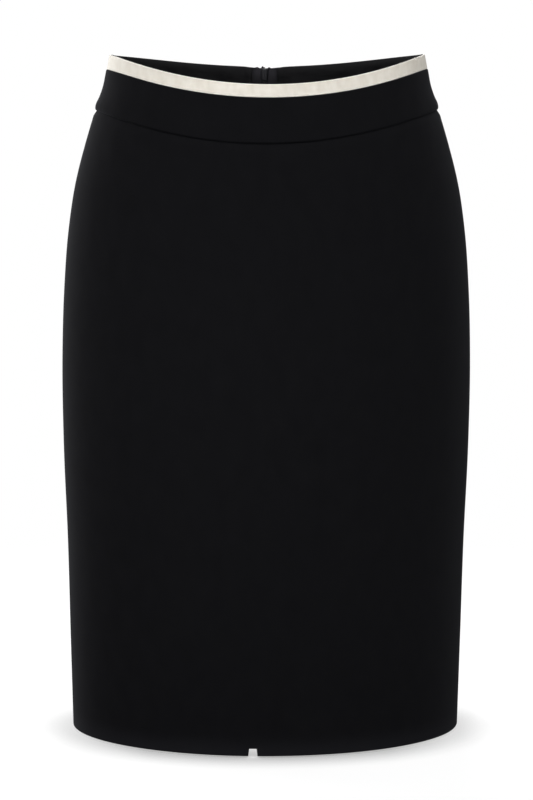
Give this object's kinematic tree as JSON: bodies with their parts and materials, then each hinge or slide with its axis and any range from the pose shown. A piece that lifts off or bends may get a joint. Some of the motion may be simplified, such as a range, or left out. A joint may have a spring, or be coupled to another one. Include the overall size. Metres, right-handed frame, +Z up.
{
  "type": "pencil skirt",
  "caption": "Black knee-length pencil skirt held open as worn, with a shaped yoke, a cream ribbon along the dipping waist edge, a hidden back zip and a lapped back vent.",
  "frame": {"origin": "centre of the waist opening, level with the waist edge at the side seams", "axes": "+Z up along the skirt, +X to the right when the front is faced, front towards -Y"},
  "size_m": [0.3544, 0.2436, 0.5879],
  "materials": {
    "crepe": "matte black woven crepe",
    "ribbon": "cream fine ribbed ribbon with a soft sheen",
    "facing": "smooth black cotton facing",
    "zip_tape": "black knitted zip tape",
    "zip_coil": "black nylon coil",
    "zip_metal": "black enamelled zinc"
  },
  "bodies": {
    "root": {"front_panel": "crepe", "back_panel_left": "crepe", "back_panel_right": "crepe", "yoke_front": "crepe", "yoke_back_left": "crepe", "yoke_back_right": "crepe", "ribbon_front": "ribbon", "ribbon_back_left": "ribbon", "ribbon_back_right": "ribbon", "facing_front": "facing", "facing_back_left": "facing", "facing_back_right": "facing", "zip_tape_left": "zip_tape", "zip_tape_right": "zip_tape", "zip_coil": "zip_coil", "zip_slider": "zip_metal"},
    "zip_pull": {"zip_pull": "zip_metal"}
  },
  "joints": [
    {"name": "zip_pull_swing", "type": "hinge", "parent": "root", "child": "zip_pull", "pos_m": [0, 0.09634, -0.01017], "axis": [1, 0, 0], "range_deg": [0, 150]}
  ]
}
